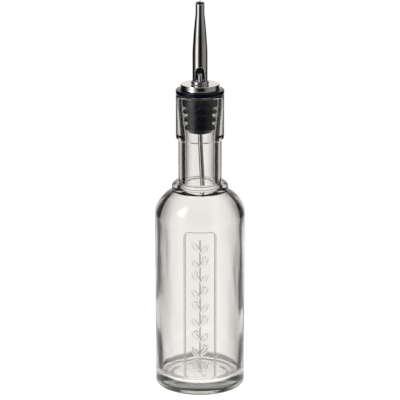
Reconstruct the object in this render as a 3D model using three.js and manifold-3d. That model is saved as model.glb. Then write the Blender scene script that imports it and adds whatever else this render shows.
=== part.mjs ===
// Glass oil bottle with a finned stopper and a metal pourer.
// Millimetres, +Z up. The origin is at the centre of the base, on the surface it stands on,
// and the framed panel faces -Y.

import * as THREE from 'three';
import { mergeVertices } from 'three/addons/utils/BufferGeometryUtils.js';
import Module from 'manifold-3d';

const wasm = await Module();
wasm.setup();

// ---------- driving dimensions ----------

// Bottle, outside
const BODY_RADIUS = 29.5;
const BODY_HEIGHT = 116.1;        // from the table to where the shoulder starts to turn in
const HEEL_RADIUS = 3;
const REST_RING_WIDTH = 5;        // the flat ring it stands on
const PUNT_RISE = 3.2;            // how far the underside is pushed up at its centre
const SHOULDER_RISE = 15.9;
const SHOULDER_TURN = 60;         // degrees of the ellipse that the shoulder uses
const RING_RADIUS = 18.3;         // the bead at the foot of the neck
const RING_HEIGHT = 6;
const RING_ROUND = 3.3;
const RING_GROOVE = 0.35;
const NECK_RADIUS = 14.05;
const NECK_LENGTH = 28.1;         // from the bead to the thicker band at the mouth
const FINISH_RADIUS = 15.6;       // the thicker band at the mouth
const FINISH_HEIGHT = 29.6;
const FINISH_STEP = 1.5;          // the sloping lower edge of that band
const RIM_ROUND = 1.1;

// Bottle, inside
const BODY_WALL = 3.6;
const BASE_THICKNESS = 7;
const FLOOR_RISE = 1.8;           // the inside floor follows the punt a little
const FLOOR_CORNER = 7;
const NECK_BORE_RADIUS = 9.7;
const MOUTH_RADIUS = 12.5;        // the bore at the rim, which tapers down to the neck bore
const MOUTH_TAPER = 31;           // how far below the rim the taper ends

// Raised panel on the front of the body
const PANEL_WIDTH = 21.6;
const PANEL_BOTTOM_MARGIN = 11.8; // above the table
const PANEL_TOP_MARGIN = 4.1;     // below the shoulder
const PANEL_CORNER = 3.6;
const FRAME_WIDTH = 1.25;
const RELIEF = 0.55;              // how far the frame and the sprig stand proud
const RELIEF_ROOT = 0.9;          // how far they reach into the wall, to join it
const SPRIG_PITCH = 10;
const SPRIG_STEM_WIDTH = 0.7;
const LEAF_LENGTH = 9;
const LEAF_WIDTH = 3.4;
const LEAF_LEAN = 38;             // degrees from upright
const FRUIT_RADIUS = 1.2;
const SPRIG_END_MARGIN = 5;

// Stopper
const FLANGE_THICKNESS = 2.9;
const FLANGE_ROUND = 0.6;
const COLLAR_DEPTH = 7.6;         // the smooth part of the plug, under the flange
const PLUG_LENGTH = 25.2;
const PLUG_NOSE_ROUND = 1.9;
const FIN_COUNT = 3;
const FIN_DEPTH = 1.6;            // the core is this much smaller in radius than the neck's bore
const FIN_ROOT = 2.4;             // height of a fin where it leaves the core
const FIN_TIP = 0.7;              // height of a fin at its edge
const FIRST_FIN = 0.7;            // share of a fin's pitch between the collar and the first fin
const LAST_FIN = 0.63;            // share of a fin's pitch between the last fin and the bottom
const COUNTERBORE_DEPTH = 9;      // below the top of the flange

// Metal pourer
const METAL_WALL = 0.5;
const CAP_RADIUS = 12.6;
const CAP_HEIGHT = 3.3;
const CAP_WALL = 0.6;
const CAP_EDGE_ROUND = 0.5;
const CAP_FLARE = 0.3;            // the lower edge of the cap spreads this much
const CAP_FLARE_HEIGHT = 0.7;
const BARREL_RADIUS = 3.6;
const BARREL_PROUD = 0.9;         // how far the barrel shows below the plug
const SPOUT_RADIUS = 4.85;
const SPOUT_STRAIGHT = 20;        // foot to the start of the taper
const SPOUT_TAPER = 25;
const SPOUT_TIP_RADIUS = 2.85;
const SPOUT_TIP_LENGTH = 7.6;
const SPOUT_BELLY = 0.22;         // how far the taper bulges out from a straight cone
const TIP_CUT = 16;               // degrees that the mouth of the spout leans forward
const BRAZE_RING_WALL = 0.6;      // the brazing ring round the foot of the spout
const BRAZE_RING_HEIGHT = 1.6;
const RECESS_WIDTH = 6.4;         // the arched recess pressed into the foot of the spout
const RECESS_HEIGHT = 11;
const BREATHER_RADIUS = 1.45;
const BREATHER_STAND = 6.2;       // height of its top end above the cap
const BREATHER_REACH = 36;        // length of it that shows below the plug
const BREATHER_LEAN = 1.6;        // sideways, over that length

// Fits
const TOUCH_GAP = 0.3;            // between pieces that rest on each other
const FIN_GAP = 0.3;              // fins to the bore of the mouth
const TURN_GAP = 0.3;             // barrel to the bore of the stopper
const TUBE_GAP = 0.35;            // breather tube to what it passes
const BOSS_GAP = 0.6;             // boss of the stopper to the inside of the cap
const SWING_GAP = 0.5;            // breather tube to the counterbore that it swings round in

// Facets
const BODY_SIDES = 48;
const STOPPER_SIDES = 40;
const METAL_SIDES = 36;
const TUBE_SIDES = 24;
const BREATHER_SIDES = 10;

// ---------- heights and radii that follow ----------

const ringFoot = BODY_HEIGHT + SHOULDER_RISE;
const ringTop = ringFoot + RING_HEIGHT;
const finishFoot = ringTop + NECK_LENGTH;
const rimHeight = finishFoot + FINISH_HEIGHT;
const flangeBottom = rimHeight + TOUCH_GAP;
const flangeTop = flangeBottom + FLANGE_THICKNESS;
const capBottom = flangeTop + TOUCH_GAP;
const capTop = capBottom + CAP_HEIGHT;
const spoutFoot = capTop + TOUCH_GAP;
const plugBottom = flangeBottom - PLUG_LENGTH;
const bodyBore = BODY_RADIUS - BODY_WALL;
const barrelBore = BARREL_RADIUS - METAL_WALL;
const spoutBore = SPOUT_RADIUS - METAL_WALL;
const stopperBore = BARREL_RADIUS + TURN_GAP;
const counterboreFloor = flangeTop - COUNTERBORE_DEPTH;
const bossRadius = CAP_RADIUS - CAP_WALL - BOSS_GAP;
const bossTop = capTop - CAP_WALL - TOUCH_GAP;
const coreRadius = NECK_BORE_RADIUS - FIN_DEPTH;

// The breather tube stands in the recess of the spout, just behind the spout's own front.
const breatherFront = SPOUT_RADIUS - BREATHER_RADIUS - 0.25;
const breatherInside = barrelBore - BREATHER_RADIUS - TUBE_GAP;
const recessBack = breatherFront - BREATHER_RADIUS - TUBE_GAP;
const counterboreRadius = breatherFront + BREATHER_RADIUS + SWING_GAP;

const radians = THREE.MathUtils.degToRad;

// ---------- helpers ----------

// Points of an elliptical arc about (r, z), from one angle to another; 0 degrees points outwards.
function arc(r, z, halfWidth, halfHeight, from, to, steps) {
  const points = [];
  for (let i = 0; i <= steps; i++) {
    const angle = radians(from + ((to - from) * i) / steps);
    points.push([r + halfWidth * Math.cos(angle), z + halfHeight * Math.sin(angle)]);
  }
  return points;
}

function toVectors(points) {
  return points.map(([x, y]) => new THREE.Vector2(x, y));
}

// A solid of revolution about +Z. The profile goes counter-clockwise, with the axis on its left.
function turned(profile, sides) {
  const offAxis = profile.map(([r, z]) => [Math.max(r, 0), z]);
  return new THREE.LatheGeometry(toVectors(offAxis), sides).rotateX(Math.PI / 2);
}

// A closed ring profile: the last point joins the first one.
function turnedRing(profile, sides) {
  return turned([...profile, profile[0]], sides);
}

function toManifold(geometry) {
  const bare = geometry.clone();
  bare.deleteAttribute('normal');
  bare.deleteAttribute('uv');
  const merged = mergeVertices(bare, 1e-5);
  const triVerts = [];
  const index = merged.index.array;
  for (let i = 0; i < index.length; i += 3) {
    const [a, b, c] = [index[i], index[i + 1], index[i + 2]];
    if (a !== b && b !== c && a !== c) triVerts.push(a, b, c);
  }
  return new wasm.Manifold(new wasm.Mesh({
    numProp: 3,
    vertProperties: new Float32Array(merged.attributes.position.array),
    triVerts: new Uint32Array(triVerts),
  }));
}

function toGeometry(manifold) {
  const mesh = manifold.getMesh();
  const geometry = new THREE.BufferGeometry();
  geometry.setAttribute('position', new THREE.BufferAttribute(mesh.vertProperties, 3));
  geometry.setIndex(new THREE.BufferAttribute(mesh.triVerts, 1));
  geometry.computeVertexNormals();
  return geometry;
}

function finish(color, roughness, metalness, extra = {}) {
  return new THREE.MeshStandardMaterial({ color, roughness, metalness, ...extra });
}

function piece(name, geometry, material) {
  const mesh = new THREE.Mesh(geometry, material);
  mesh.name = name;
  return mesh;
}

// ---------- glass bottle ----------

// Radius of the bore, which tapers from the mouth down to the neck.
function boreAt(z) {
  const depth = THREE.MathUtils.clamp((rimHeight - z) / MOUTH_TAPER, 0, 1);
  return THREE.MathUtils.lerp(MOUTH_RADIUS, NECK_BORE_RADIUS, depth);
}

function bottleOutside() {
  const restOuter = BODY_RADIUS - HEEL_RADIUS;
  const restInner = restOuter - REST_RING_WIDTH;
  const turn = radians(SHOULDER_TURN);
  const shoulderEnd = RING_RADIUS + RING_GROOVE;
  const halfWidth = (BODY_RADIUS - shoulderEnd) / (1 - Math.cos(turn));
  const halfHeight = SHOULDER_RISE / Math.sin(turn);
  return [
    ...arc(0, 0, restInner, PUNT_RISE, 90, 0, 4),
    ...arc(restOuter, HEEL_RADIUS, HEEL_RADIUS, HEEL_RADIUS, -90, 0, 3),
    ...arc(BODY_RADIUS - halfWidth, BODY_HEIGHT, halfWidth, halfHeight, 0, SHOULDER_TURN, 8),
    [RING_RADIUS - RING_GROOVE, ringFoot + RING_GROOVE],
    [RING_RADIUS, ringFoot + 2 * RING_GROOVE],
    ...arc(RING_RADIUS - RING_ROUND, ringTop - RING_ROUND, RING_ROUND, RING_ROUND, 0, 80, 4),
    [NECK_RADIUS, ringTop + RING_GROOVE],
    [NECK_RADIUS, finishFoot],
    [FINISH_RADIUS, finishFoot + FINISH_STEP],
    ...arc(FINISH_RADIUS - RIM_ROUND, rimHeight - RIM_ROUND, RIM_ROUND, RIM_ROUND, 0, 90, 3),
  ];
}

function bottleInside() {
  const lip = arc(MOUTH_RADIUS + RIM_ROUND, rimHeight - RIM_ROUND, RIM_ROUND, RIM_ROUND, 90, 180, 3);
  const from = new THREE.Vector2(NECK_BORE_RADIUS, ringTop + 1);
  const to = new THREE.Vector2(bodyBore, BODY_HEIGHT - BODY_WALL);
  const fall = from.y - to.y;
  const shoulder = new THREE.CubicBezierCurve(
    from,
    new THREE.Vector2(from.x, from.y - 0.31 * fall),
    new THREE.Vector2(to.x, to.y + 0.62 * fall),
    to,
  ).getPoints(10);
  return [
    ...lip,
    [NECK_BORE_RADIUS, rimHeight - MOUTH_TAPER],
    ...shoulder.map((p) => [p.x, p.y]),
    ...arc(
      bodyBore - FLOOR_CORNER, BASE_THICKNESS + FLOOR_CORNER, FLOOR_CORNER, FLOOR_CORNER, 0, -90, 5,
    ),
    ...arc(0, BASE_THICKNESS, bodyBore - FLOOR_CORNER, FLOOR_RISE, 0, 90, 4).slice(1),
  ];
}

// Wraps a flat shape, drawn in arc length and height, round the front of the body as a raised relief.
function wrapped(shape) {
  const depth = RELIEF_ROOT + RELIEF;
  const geometry = new THREE.ExtrudeGeometry(shape, {
    depth, bevelEnabled: false, curveSegments: 6,
  });
  const position = geometry.attributes.position;
  for (let i = 0; i < position.count; i++) {
    const angle = position.getX(i) / BODY_RADIUS;
    const radius = BODY_RADIUS - RELIEF_ROOT + position.getZ(i);
    const height = position.getY(i);
    position.setXYZ(i, radius * Math.sin(angle), -radius * Math.cos(angle), height);
  }
  return toManifold(geometry);
}

// A rounded rectangle as a list of points, with the level edges cut short enough to bend.
function roundedOutline(width, bottom, top, corner) {
  const points = [];
  const bendSteps = 6;
  const corners = [
    [width / 2 - corner, bottom + corner, -90],
    [width / 2 - corner, top - corner, 0],
    [corner - width / 2, top - corner, 90],
    [corner - width / 2, bottom + corner, 180],
  ];
  corners.forEach(([x, z, from], k) => {
    points.push(...arc(x, z, corner, corner, from, from + 90, 4));
    if (k % 2 === 1) {
      const direction = k === 1 ? -1 : 1;
      for (let i = 1; i < bendSteps; i++) {
        const along = direction * (width - 2 * corner) * (i / bendSteps - 0.5);
        points.push([along, k === 1 ? top : bottom]);
      }
    }
  });
  return toVectors(points);
}

const panelBottom = PANEL_BOTTOM_MARGIN;
const panelTop = BODY_HEIGHT - PANEL_TOP_MARGIN;

function panelFrame() {
  const shape = new THREE.Shape(roundedOutline(PANEL_WIDTH, panelBottom, panelTop, PANEL_CORNER));
  shape.holes.push(new THREE.Path(roundedOutline(
    PANEL_WIDTH - 2 * FRAME_WIDTH,
    panelBottom + FRAME_WIDTH,
    panelTop - FRAME_WIDTH,
    PANEL_CORNER - FRAME_WIDTH,
  )));
  return wrapped(shape);
}

// One leaf, growing from (0, base) up and out to one side.
function leaf(base, side) {
  const shape = new THREE.Shape();
  const lean = radians(LEAF_LEAN);
  const place = (along, across) => [
    side * (along * Math.sin(lean) + across * Math.cos(lean)),
    base + along * Math.cos(lean) - across * Math.sin(lean),
  ];
  const steps = 6;
  const outline = [];
  for (let i = 0; i <= steps; i++) {
    const t = i / steps;
    outline.push(place(t * LEAF_LENGTH, (LEAF_WIDTH / 2) * Math.sin(Math.PI * t)));
  }
  for (let i = steps - 1; i > 0; i--) {
    const t = i / steps;
    outline.push(place(t * LEAF_LENGTH, (-LEAF_WIDTH / 2) * Math.sin(Math.PI * t)));
  }
  shape.setFromPoints(toVectors(side > 0 ? outline.reverse() : outline));
  return wrapped(shape);
}

function fruit(height, side) {
  const reach = FRUIT_RADIUS + 2 * SPRIG_STEM_WIDTH;
  const ring = arc(side * reach, height, FRUIT_RADIUS, FRUIT_RADIUS, 0, 360, 10).slice(0, -1);
  return wrapped(new THREE.Shape(toVectors(ring)));
}

// A plain sprig of leaves and small fruit, which fills the panel from end to end.
function sprig() {
  const low = panelBottom + SPRIG_END_MARGIN;
  const high = panelTop - SPRIG_END_MARGIN;
  const half = SPRIG_STEM_WIDTH / 2;
  const stem = [[-half, low], [half, low], [half, high], [-half, high]];
  const parts = [wrapped(new THREE.Shape(toVectors(stem)))];
  const count = Math.floor((high - low - LEAF_LENGTH) / SPRIG_PITCH) + 1;
  for (let i = 0; i < count; i++) {
    const side = i % 2 === 0 ? 1 : -1;
    const base = low + i * SPRIG_PITCH;
    parts.push(leaf(base, side), leaf(base + 1.5, -side), fruit(base - 2, side));
  }
  return parts;
}

function glassBottle() {
  const shell = toManifold(turned([...bottleOutside(), ...bottleInside()], BODY_SIDES));
  return toGeometry([panelFrame(), ...sprig()].reduce((all, part) => all.add(part), shell));
}

// ---------- stopper ----------

// Height of the middle of a fin, counted from the top one.
function finHeight(i) {
  const pitch = (PLUG_LENGTH - COLLAR_DEPTH) / (FIRST_FIN + FIN_COUNT - 1 + LAST_FIN);
  return flangeBottom - COLLAR_DEPTH - (FIRST_FIN + i) * pitch;
}

function finnedSide() {
  const points = [];
  for (let i = FIN_COUNT - 1; i >= 0; i--) {
    const z = finHeight(i);
    const tip = boreAt(z - FIN_TIP) - FIN_GAP;
    points.push(
      [coreRadius, z - FIN_ROOT / 2],
      [tip, z - FIN_TIP / 2],
      [tip, z + FIN_TIP / 2],
      [coreRadius, z + FIN_ROOT / 2],
    );
  }
  return points;
}

function stopper() {
  const collarFoot = flangeBottom - COLLAR_DEPTH;
  const roomForNose = finHeight(FIN_COUNT - 1) - FIN_ROOT / 2 - plugBottom;
  const nose = Math.min(PLUG_NOSE_ROUND, 0.95 * roomForNose);
  const edge = FINISH_RADIUS - FLANGE_ROUND;
  const profile = [
    [stopperBore, plugBottom],
    ...arc(coreRadius - nose, plugBottom + nose, nose, nose, -90, 0, 3),
    ...finnedSide(),
    [coreRadius, collarFoot],
    [boreAt(collarFoot) - FIN_GAP, collarFoot + FIN_TIP],
    [boreAt(flangeBottom) - FIN_GAP, flangeBottom - RIM_ROUND],
    [boreAt(flangeBottom) - FIN_GAP, flangeBottom],
    ...arc(edge, flangeBottom + FLANGE_ROUND, FLANGE_ROUND, FLANGE_ROUND, -90, 0, 2),
    ...arc(edge, flangeTop - FLANGE_ROUND, FLANGE_ROUND, FLANGE_ROUND, 0, 90, 2),
    [bossRadius, flangeTop],
    [bossRadius, bossTop],
    [counterboreRadius, bossTop],
    [counterboreRadius, counterboreFloor],
    [stopperBore, counterboreFloor],
  ];
  return turnedRing(profile, STOPPER_SIDES);
}

// ---------- metal pourer ----------

function upright(x, y, radius, bottom, top) {
  const rod = new THREE.CylinderGeometry(radius, radius, top - bottom, TUBE_SIDES);
  rod.rotateX(Math.PI / 2).translate(x, y, (top + bottom) / 2);
  return toManifold(rod);
}

function capPlate() {
  const edge = CAP_RADIUS - CAP_EDGE_ROUND;
  const inner = CAP_RADIUS - CAP_WALL;
  const shell = turnedRing([
    [inner, capBottom],
    [CAP_RADIUS + CAP_FLARE, capBottom],
    [CAP_RADIUS, capBottom + CAP_FLARE_HEIGHT],
    ...arc(edge, capTop - CAP_EDGE_ROUND, CAP_EDGE_ROUND, CAP_EDGE_ROUND, 0, 90, 3),
    [barrelBore, capTop],
    [barrelBore, capTop - CAP_WALL],
    [inner, capTop - CAP_WALL],
  ], METAL_SIDES);
  const breatherHole = upright(0, -breatherFront, BREATHER_RADIUS + TUBE_GAP, capBottom, spoutFoot);
  return toGeometry(toManifold(shell).subtract(breatherHole));
}

function stemBarrel() {
  const bottom = plugBottom - BARREL_PROUD;
  const top = capTop - CAP_WALL - TOUCH_GAP;
  const tube = turnedRing([
    [barrelBore, bottom],
    [BARREL_RADIUS, bottom],
    [BARREL_RADIUS, top],
    [barrelBore, top],
  ], TUBE_SIDES);
  const slotWidth = 2 * (BREATHER_RADIUS + TUBE_GAP);
  const slotLength = top - counterboreFloor;
  const slot = new THREE.BoxGeometry(slotWidth, 2 * BARREL_RADIUS, 2 * slotLength);
  slot.translate(0, -BARREL_RADIUS, top);
  return toGeometry(toManifold(tube).subtract(toManifold(slot)));
}

// Outline of the spout from foot to tip, with a given amount taken off its radius.
function spoutSide(inset) {
  const taperFoot = spoutFoot + SPOUT_STRAIGHT;
  const tipFoot = taperFoot + SPOUT_TAPER;
  const points = [[SPOUT_RADIUS - inset, spoutFoot]];
  const steps = 6;
  for (let i = 0; i <= steps; i++) {
    const t = i / steps;
    const radius = THREE.MathUtils.lerp(SPOUT_RADIUS, SPOUT_TIP_RADIUS, t);
    const belly = SPOUT_BELLY * Math.sin(Math.PI * t);
    points.push([radius + belly - inset, taperFoot + t * SPOUT_TAPER]);
  }
  points.push([SPOUT_TIP_RADIUS - inset, tipFoot + SPOUT_TIP_LENGTH]);
  return points;
}

function filledSpout(inset) {
  const side = spoutSide(inset);
  const last = side[side.length - 1];
  return toManifold(turned([[0, spoutFoot], ...side, [0, last[1]]], TUBE_SIDES));
}

// The arched space in front of the spout's foot, grown by a margin on every side.
function recess(margin) {
  const half = RECESS_WIDTH / 2 + margin;
  const spring = spoutFoot + RECESS_HEIGHT - RECESS_WIDTH / 2;
  const outline = [
    [-half, spoutFoot - 1],
    [half, spoutFoot - 1],
    ...arc(0, spring, half, half, 0, 180, 10),
  ];
  const depth = SPOUT_RADIUS + 1 - recessBack + margin;
  const arch = new THREE.ExtrudeGeometry(
    new THREE.Shape(toVectors(outline)), { depth, bevelEnabled: false },
  );
  arch.rotateX(Math.PI / 2).translate(0, margin - recessBack, 0);
  return toManifold(arch);
}

function spout() {
  const height = SPOUT_STRAIGHT + SPOUT_TAPER + SPOUT_TIP_LENGTH;
  const hollow = filledSpout(METAL_WALL).subtract(recess(METAL_WALL));
  const cutter = new THREE.BoxGeometry(20, 20, 10);
  cutter.translate(0, 0, 5).rotateX(radians(TIP_CUT));
  const drop = SPOUT_TIP_RADIUS * Math.tan(radians(TIP_CUT));
  cutter.translate(0, 0, spoutFoot + height - drop);
  const tube = filledSpout(0).subtract(hollow).subtract(recess(0));
  return toGeometry(tube.subtract(toManifold(cutter)));
}

function spoutCollar() {
  const inner = SPOUT_RADIUS + TOUCH_GAP;
  const round = BRAZE_RING_WALL / 2;
  return turnedRing([
    [inner, spoutFoot],
    [inner + BRAZE_RING_WALL, spoutFoot],
    ...arc(inner + round, spoutFoot + BRAZE_RING_HEIGHT - round, round, round, 0, 180, 4),
  ], METAL_SIDES);
}

function breatherTube() {
  const bottom = plugBottom - BREATHER_REACH;
  const route = new THREE.CatmullRomCurve3([
    new THREE.Vector3(0, -breatherFront, capTop + BREATHER_STAND),
    new THREE.Vector3(0, -breatherFront, capTop + 1),
    new THREE.Vector3(0, -(breatherFront + breatherInside) / 2, (flangeTop + counterboreFloor) / 2),
    new THREE.Vector3(0, -breatherInside, counterboreFloor),
    new THREE.Vector3(0.1, -breatherInside, plugBottom),
    new THREE.Vector3(BREATHER_LEAN, -breatherInside, bottom),
  ], false, 'centripetal');
  const circle = (radius) => toVectors(
    arc(0, 0, radius, radius, 0, 360, BREATHER_SIDES).slice(0, -1),
  );
  const section = new THREE.Shape(circle(BREATHER_RADIUS));
  section.holes.push(new THREE.Path(circle(BREATHER_RADIUS - METAL_WALL)));
  return new THREE.ExtrudeGeometry(section, { steps: 24, extrudePath: route });
}

// ---------- assembly ----------

const steel = finish(0xc4c6ca, 0.12, 1);
const bottleGroup = new THREE.Group();
bottleGroup.add(piece('glass_bottle', glassBottle(), finish(0xe6e4de, 0.04, 0, {
  transparent: true, opacity: 0.35,
})));

const stopperGroup = new THREE.Group();
stopperGroup.add(piece('stopper', stopper(), finish(0x14151c, 0.3, 0)));

const pourerGroup = new THREE.Group();
pourerGroup.add(
  piece('cap_plate', capPlate(), steel),
  piece('stem_barrel', stemBarrel(), steel.clone()),
  piece('spout', spout(), steel.clone()),
  piece('spout_collar', spoutCollar(), steel.clone()),
  piece('breather_tube', breatherTube(), finish(0xb4b6ba, 0.2, 1)),
);

stopperGroup.add(pourerGroup);
bottleGroup.add(stopperGroup);

export default bottleGroup;
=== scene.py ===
# %% [markdown]
# # A glass oil bottle with a metal pourer
#
# This file dresses a measured frame of the bottle: every piece below is a fine mesh that takes the place of
# one plain solid of the frame. The bottle stands on the table at z = 0 with its framed panel facing -Y. All
# lengths are in metres, so sizes that a maker would give in millimetres are multiplied by MM.

# %% Load the frame
import math

import bpy
import numpy as np
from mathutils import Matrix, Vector, noise


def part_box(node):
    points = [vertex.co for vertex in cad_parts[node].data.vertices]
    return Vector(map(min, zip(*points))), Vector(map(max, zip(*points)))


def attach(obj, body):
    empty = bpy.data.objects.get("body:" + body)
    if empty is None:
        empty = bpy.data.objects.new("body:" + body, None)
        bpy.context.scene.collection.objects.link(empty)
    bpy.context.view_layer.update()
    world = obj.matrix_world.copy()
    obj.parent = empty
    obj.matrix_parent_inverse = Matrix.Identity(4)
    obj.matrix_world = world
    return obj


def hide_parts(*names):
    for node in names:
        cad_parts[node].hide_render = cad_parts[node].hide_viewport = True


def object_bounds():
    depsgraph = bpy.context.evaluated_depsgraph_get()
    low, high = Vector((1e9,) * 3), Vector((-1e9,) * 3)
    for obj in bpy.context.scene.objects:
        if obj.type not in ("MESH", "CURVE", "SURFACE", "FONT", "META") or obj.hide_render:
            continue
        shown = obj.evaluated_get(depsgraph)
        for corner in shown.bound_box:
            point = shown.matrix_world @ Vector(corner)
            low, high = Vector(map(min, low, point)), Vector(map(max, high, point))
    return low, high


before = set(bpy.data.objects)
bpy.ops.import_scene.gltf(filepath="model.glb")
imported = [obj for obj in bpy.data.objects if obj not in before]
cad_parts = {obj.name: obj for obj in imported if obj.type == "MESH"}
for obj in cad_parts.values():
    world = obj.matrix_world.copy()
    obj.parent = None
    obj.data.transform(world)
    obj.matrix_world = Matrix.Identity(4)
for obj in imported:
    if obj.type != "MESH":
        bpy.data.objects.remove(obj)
cad_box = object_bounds()
MM = 0.001
print(len(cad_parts), "solids, box in mm:", [[round(c / MM, 1) for c in corner] for corner in cad_box])

# %% [markdown]
# ## Sizes that come from the frame
#
# The outer radii and the heights are read from the frame, so that the fine pieces fit where the plain ones
# were. A round piece's radius is simply how far its box reaches along +X.

# %% Radii and heights
glass_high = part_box("glass_bottle")[1]
stopper_low, stopper_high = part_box("stopper")
cap_low, cap_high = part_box("cap_plate")
barrel_low, barrel_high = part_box("stem_barrel")

BODY = glass_high.x / MM
RIM = glass_high.z / MM
FINISH_RADIUS = stopper_high.x / MM
PLUG_BOTTOM, BOSS_TOP = stopper_low.z / MM, stopper_high.z / MM
CAP_LOW, CAP_TOP, CAP_FLARE = cap_low.z / MM, cap_high.z / MM, cap_high.x / MM
BARREL_SIDE, BARREL_LOW, BARREL_TOP = barrel_high.x / MM, barrel_low.z / MM, barrel_high.z / MM
SPOUT_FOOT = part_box("spout")[0].z / MM
BREATHER_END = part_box("breather_tube")[0].z / MM
print("body radius", round(BODY, 2), "mm, rim at", round(RIM, 2), "mm")

# %% [markdown]
# ## Camera
#
# A bottle is best seen from a little above, as someone standing at the table sees it: low enough to keep its
# slim outline, and high enough to open the ellipses of the cap and the base. A long lens from over a metre
# away keeps the sides of the bottle parallel. Its focal length is worked out from the angles at which the
# camera sees the tip of the spout and the front of the base, so that the bottle fills the height of a square
# picture.

# %% Place the camera
CAMERA_DISTANCE = 1.2
CAMERA_HEIGHT = 0.46
HEIGHT_SHARE = 0.985      # how much of the picture's height the bottle fills
SHARE_ABOVE = 0.004       # how much stays free above it
BASE_FRONT = 0.93         # where the lowest visible point of the base lies, as a share of the radius


def look_down_angle(point):
    """Angle below the horizon at which the camera sees a point (y, z) on the plane x = 0."""
    return math.atan2(CAMERA_HEIGHT - point[1], CAMERA_DISTANCE + point[0])


top_angle = look_down_angle((0.0, cad_box[1].z))
bottom_angle = look_down_angle((-BASE_FRONT * BODY * MM, 0.0))
half_view = (bottom_angle - top_angle) / 2 / HEIGHT_SHARE
tilt = top_angle + half_view * (1 - 2 * SHARE_ABOVE)

camera_data = bpy.data.cameras.new("studio_camera")
camera = bpy.data.objects.new("studio_camera", camera_data)
bpy.context.scene.collection.objects.link(camera)
bpy.context.scene.camera = camera
camera.location = (0.0, -CAMERA_DISTANCE, CAMERA_HEIGHT)
camera.rotation_euler = (math.pi / 2 - tilt, 0.0, 0.0)
camera_data.sensor_width = 36.0
camera_data.lens = camera_data.sensor_width / 2 / math.tan(half_view)
camera_data.clip_start = 0.01
print("lens", round(camera_data.lens, 1), "mm, tilt", round(math.degrees(tilt), 1), "degrees")

# %% [markdown]
# ## Studio
#
# Clear glass has no colour of its own to show. It shows what stands around it, bent at every wall. So the
# studio matters as much as the material: a white background, a tall soft panel on the left, a weaker one on
# the right, darkness behind the camera, and narrow black gaps beside the background. The gaps draw the dark
# lines that give clear glass its edges. Boards round the object could do the same, but they would stand in
# the way as soon as it is looked at from another side. So all of it is painted on the world, as brightness
# against direction.

# %% Helpers for node trees
def add_node(tree, kind, **settings):
    """Adds a shader node. Settings with a capital letter set sockets, and the others set properties."""
    node = tree.nodes.new(kind)
    for key, value in settings.items():
        if key[0].isupper():
            node.inputs[key.replace("_", " ")].default_value = value
        else:
            setattr(node, key, value)
    return node


def math_node(tree, operation, *values, clamp=False):
    """One arithmetic step. Each value is a number or another node's output."""
    node = tree.nodes.new("ShaderNodeMath")
    node.operation = operation
    node.use_clamp = clamp
    for socket, value in zip(node.inputs, values):
        if isinstance(value, (int, float)):
            socket.default_value = value
        else:
            tree.links.new(value, socket)
    return node.outputs[0]


def soft_step(tree, value, low, high):
    """0 below low, 1 above high, and a smooth rise between them."""
    node = add_node(tree, "ShaderNodeMapRange", interpolation_type="SMOOTHSTEP")
    node.inputs["From Min"].default_value = low
    node.inputs["From Max"].default_value = high
    tree.links.new(value, node.inputs["Value"])
    return node.outputs["Result"]


# %% Direction of a ray
world = bpy.data.worlds.new("studio")
bpy.context.scene.world = world
world.use_nodes = True
sky = world.node_tree
sky.nodes.clear()
direction = add_node(sky, "ShaderNodeSeparateXYZ")
sky.links.new(add_node(sky, "ShaderNodeTexCoord").outputs["Generated"], direction.inputs[0])
to_x, to_y, to_z = direction.outputs
azimuth = math_node(sky, "ARCTAN2", to_x, math_node(sky, "MULTIPLY", to_y, -1.0))
elevation = math_node(sky, "ARCSINE", to_z)
turn_share = math_node(sky, "MULTIPLY_ADD", azimuth, 1 / math.tau, 0.5)

# %% [markdown]
# The panels are a ramp of brightness round the horizon. What is seen straight through the hollow bottle gets
# a ramp of its own, bright nearly all round. With the gaps only beside the background, the bottle would turn
# black when it is looked at from the side. In a real studio the boards would simply be moved along. A ray
# that has crossed four glass surfaces and was never mirrored is such a look straight through.

# %% Brightness round the horizon
# Azimuth in degrees, counted from behind the camera towards its right, and brightness.
PANELS = [
    (-180, 1.0), (-173, 1.0), (-165, 0.84), (-157, 0.6), (-150, 0.1), (-144, 0.01), (-96, 0.01),
    (-84, 0.12), (-72, 0.6), (-58, 1.5), (-42, 1.6), (-30, 0.4), (-18, 0.1), (-8, 0.01), (22, 0.01),
    (36, 0.2), (52, 0.3), (98, 0.36), (108, 0.08), (116, 0.01), (144, 0.01), (150, 0.14), (157, 0.66),
    (165, 0.88), (173, 1.0), (180, 1.0),
]
THROUGH = [
    (-180, 1.0), (-174, 0.98), (-167, 0.8), (-160, 0.56), (-152, 0.24), (-145, 0.18), (-136, 0.7),
    (-125, 0.95), (-112, 0.75), (-95, 0.9), (-70, 0.75), (-45, 0.95), (-20, 0.7), (0, 0.8), (25, 0.75),
    (45, 0.98), (65, 0.8), (90, 0.95), (112, 0.75), (125, 0.95), (136, 0.7), (145, 0.18), (152, 0.24),
    (160, 0.56), (167, 0.8), (174, 0.98), (180, 1.0),
]


def round_the_horizon(levels):
    """Brightness by azimuth as a colour ramp."""
    ramp = add_node(sky, "ShaderNodeValToRGB")
    ramp.color_ramp.interpolation = "EASE"
    stops = ramp.color_ramp.elements
    while len(stops) > 1:
        stops.remove(stops[-1])
    for number, (degrees, level) in enumerate(levels):
        place = (degrees + 180) / 360
        stop = stops[0] if number == 0 else stops.new(place)
        stop.position = place
        stop.color = (level, level, level, 1)
    sky.links.new(turn_share, ramp.inputs["Fac"])
    return ramp.outputs["Color"]


def chosen(share, first, second):
    """First where the share is 0, second where it is 1. Each is a number or another node's output."""
    node = add_node(sky, "ShaderNodeMix", data_type="FLOAT")
    sky.links.new(share, node.inputs["Factor"])
    for label, value in (("A", first), ("B", second)):
        if isinstance(value, (int, float)):
            node.inputs[label].default_value = value
        else:
            sky.links.new(value, node.inputs[label])
    return node.outputs["Result"]


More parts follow.
